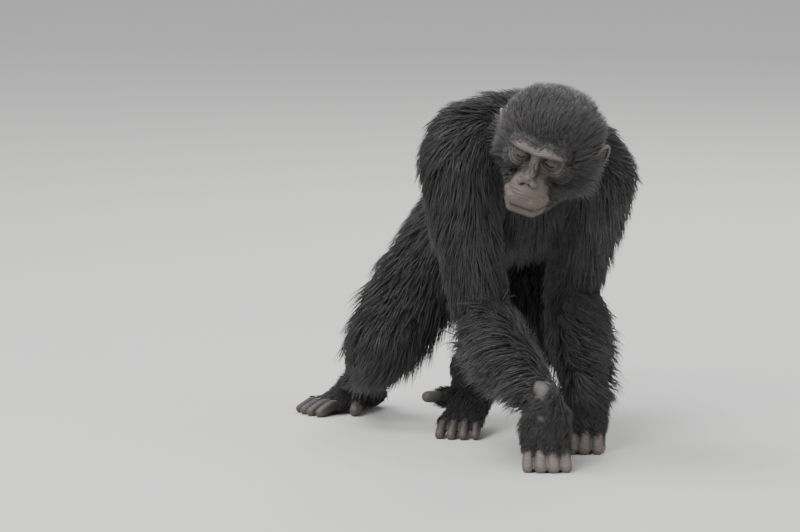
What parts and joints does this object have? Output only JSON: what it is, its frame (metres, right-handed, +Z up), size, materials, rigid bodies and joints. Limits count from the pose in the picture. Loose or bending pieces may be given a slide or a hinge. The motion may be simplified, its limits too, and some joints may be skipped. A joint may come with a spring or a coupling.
{
  "type": "chimpanzee",
  "caption": "Life-size still model of an adult chimpanzee walking on its knuckles, head turned and bent down, one hind leg stretched back to the side, in a long dark coat.",
  "frame": {"origin": "bottom centre of the bounding box, on the floor the animal stands on", "axes": "+Z up; the trunk lies along Y with the head toward -Y; the animal's left side is toward +X"},
  "size_m": [0.5454, 0.9068, 0.7176],
  "materials": {
    "coat_black": "long black coat with a faint grey-brown sheen",
    "skin_face": "dark grey-brown bare skin of the face and ears, matte",
    "skin_hand": "dark grey skin of hands and feet under short hair",
    "eye_brown": "dark brown, wet gloss"
  },
  "bodies": {
    "root": {"chest": "coat_black", "abdomen": "coat_black", "pelvis": "coat_black", "neck": "coat_black", "upper_arm_left": "coat_black", "forearm_left": "coat_black", "thigh_left": "coat_black", "shank_left": "coat_black", "hand_left": "skin_hand", "foot_left": "skin_hand", "ear_left": "skin_face", "eye_left": "eye_brown", "upper_arm_right": "coat_black", "forearm_right": "coat_black", "thigh_right": "coat_black", "shank_right": "coat_black", "hand_right": "skin_hand", "foot_right": "skin_hand", "ear_right": "skin_face", "eye_right": "eye_brown", "head": "skin_face"}
  },
  "joints": []
}
